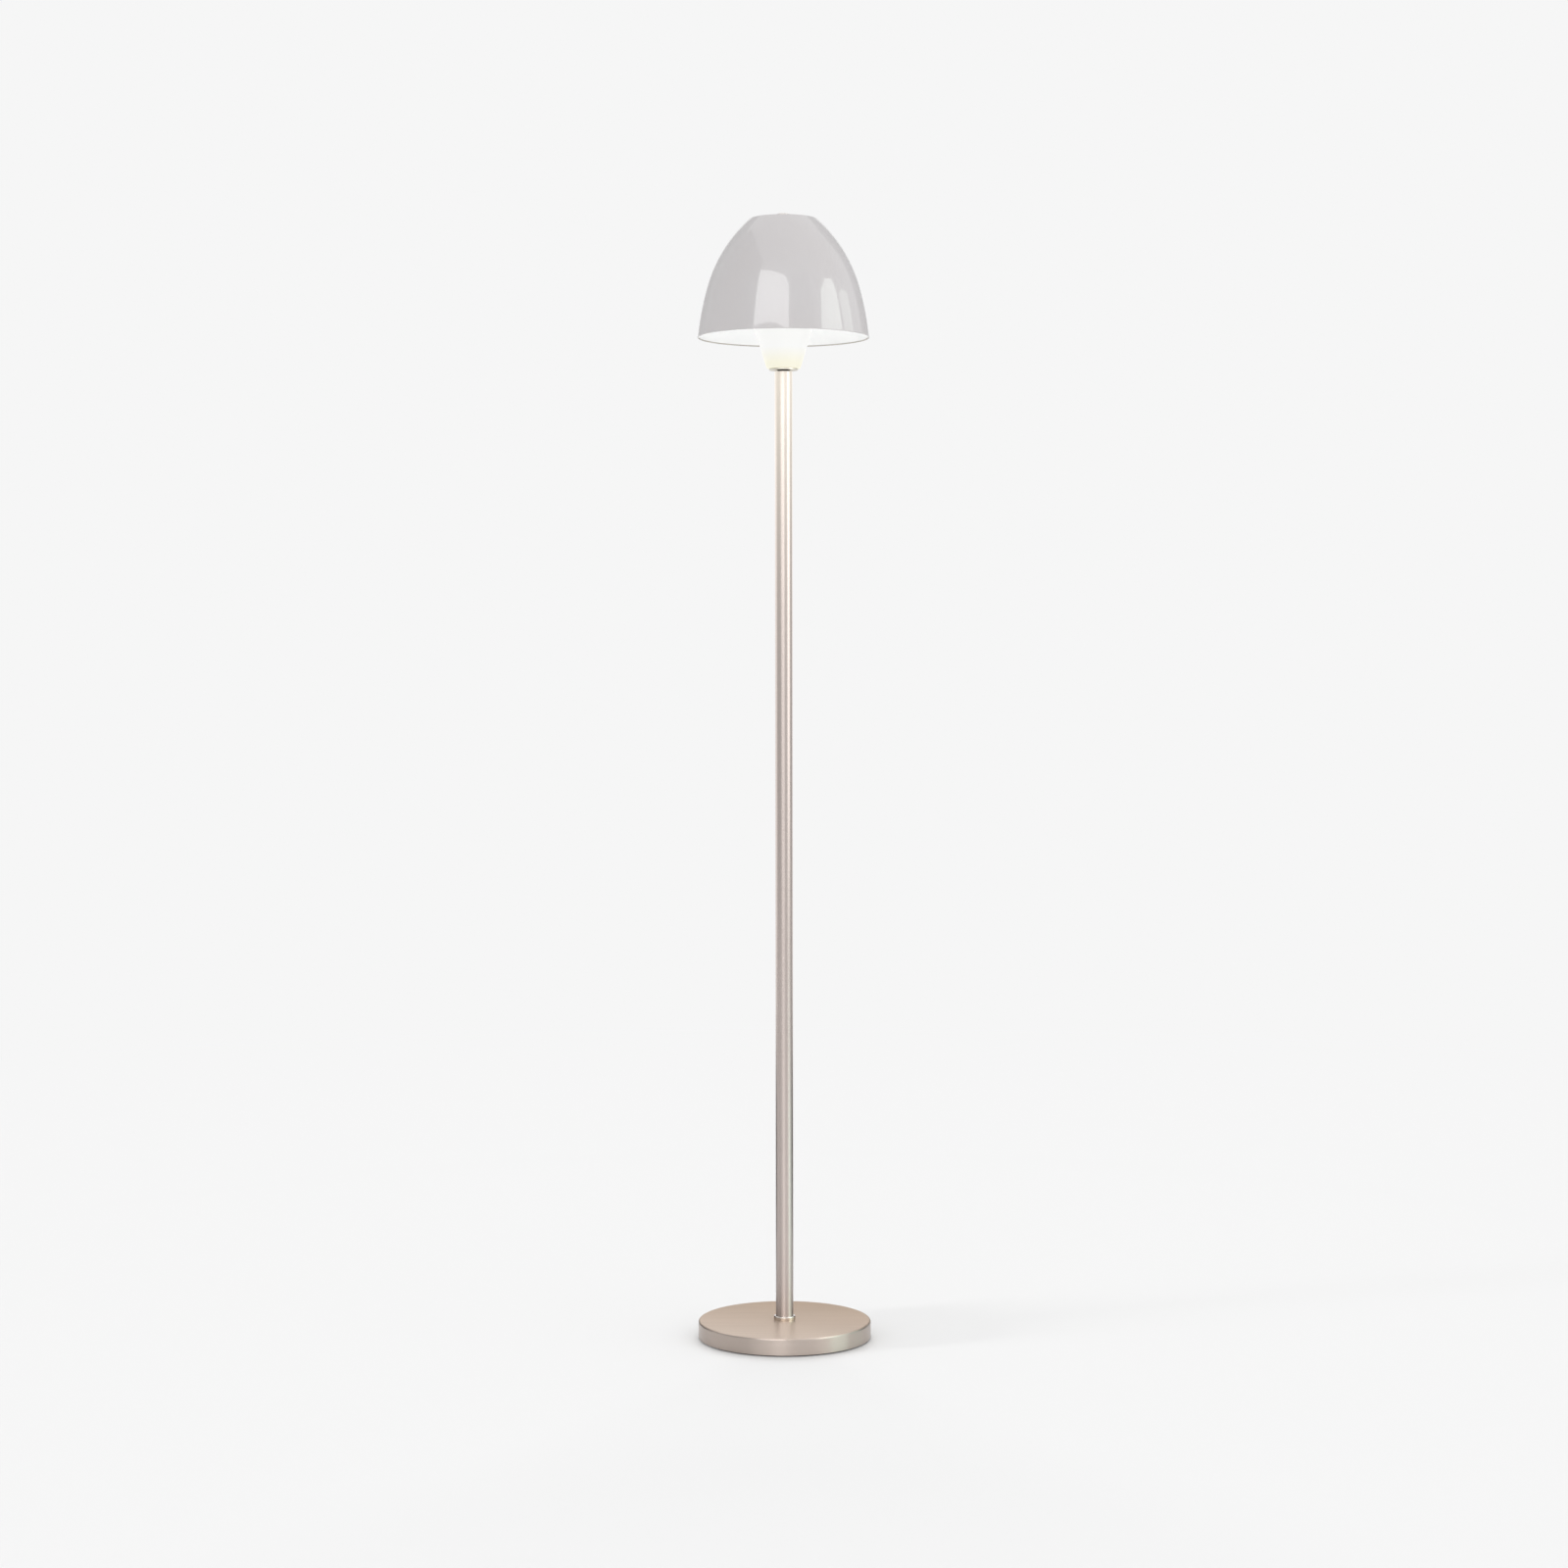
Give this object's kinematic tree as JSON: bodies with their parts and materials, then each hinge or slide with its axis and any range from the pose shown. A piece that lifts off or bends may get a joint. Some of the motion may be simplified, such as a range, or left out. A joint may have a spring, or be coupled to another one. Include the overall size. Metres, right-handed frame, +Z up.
{
  "type": "mushroom floor lamp",
  "caption": "Floor lamp with a round weighted base, a slim pole and a domed metal shade over an upright frosted glass cone.",
  "frame": {"origin": "centre of the underside of the base pad, on the floor", "axes": "+Z up along the pole, +Y to the rear where the cord inlet is, -Y to the front"},
  "size_m": [0.248, 0.248, 1.6068],
  "materials": {
    "satin_nickel": "brushed, warm satin nickel",
    "polished_nickel": "polished",
    "painted_shade": "gloss, white inside",
    "frosted_glass": "frosted, lit from inside",
    "opal_globe": "opal, lit",
    "cast_iron": "as cast, dark paint",
    "dark_foam": "matt closed-cell foam",
    "black_plastic": "fine matt",
    "black_rubber": "matt",
    "clear_silicone": "translucent",
    "zinc_steel": "zinc plated",
    "moulded_white": "semi-gloss",
    "white_ceramic": "unglazed ceramic",
    "brass": "plain",
    "bulb_cap_metal": "plain",
    "lead_sheath": "smooth cable sheath",
    "core_sleeve": "smooth"
  },
  "bodies": {
    "stand": {"base_pad": "dark_foam", "base_cover": "satin_nickel", "base_weight": "cast_iron", "cord_grommet": "black_plastic", "foot_nipple": "zinc_steel", "foot_washer": "zinc_steel", "foot_lock_washer": "zinc_steel", "foot_nut": "zinc_steel", "foot_collar": "polished_nickel", "pole_lower": "satin_nickel", "pole_middle": "satin_nickel", "pole_upper": "satin_nickel", "pole_inserts": "zinc_steel", "pole_joint_nipples": "zinc_steel", "head_nipple": "zinc_steel", "neck_spacer": "black_plastic", "top_flange": "satin_nickel", "lower_glass_washer": "clear_silicone", "diffuser": "frosted_glass", "upper_glass_washer": "clear_silicone", "clamp_washer": "zinc_steel", "head_nut": "zinc_steel", "lampholder_cap": "moulded_white", "lampholder_shell": "moulded_white", "contact_block": "white_ceramic", "screw_sleeve": "brass", "centre_contact": "brass", "carrier_bar": "zinc_steel", "carrier_ferrules": "zinc_steel", "carrier_bow": "zinc_steel", "carrier_stud": "zinc_steel", "shade_seat": "zinc_steel", "shade_seat_pad": "black_rubber", "inner_lead": "lead_sheath", "lead_cores": "core_sleeve"},
    "shade_assembly": {"shade": "painted_shade", "finial_washer": "black_plastic"},
    "finial_nut": {"finial": "polished_nickel"},
    "bulb": {"bulb_end_contact": "brass", "bulb_screw_cap": "bulb_cap_metal", "bulb_housing": "moulded_white", "bulb_globe": "opal_globe"}
  },
  "joints": [
    {"name": "shade_lift", "type": "slide", "parent": "stand", "child": "shade_assembly", "axis": [0, 0, 1], "range_m": [0, 0.2]},
    {"name": "finial_turn", "type": "hinge", "parent": "shade_assembly", "child": "finial_nut", "pos_m": [0, 0, 1.6008], "axis": [0, 0, 1], "continuous": true},
    {"name": "bulb_turn", "type": "hinge", "parent": "stand", "child": "bulb", "pos_m": [0, 0, 1.4165], "axis": [0, 0, 1], "continuous": true}
  ]
}
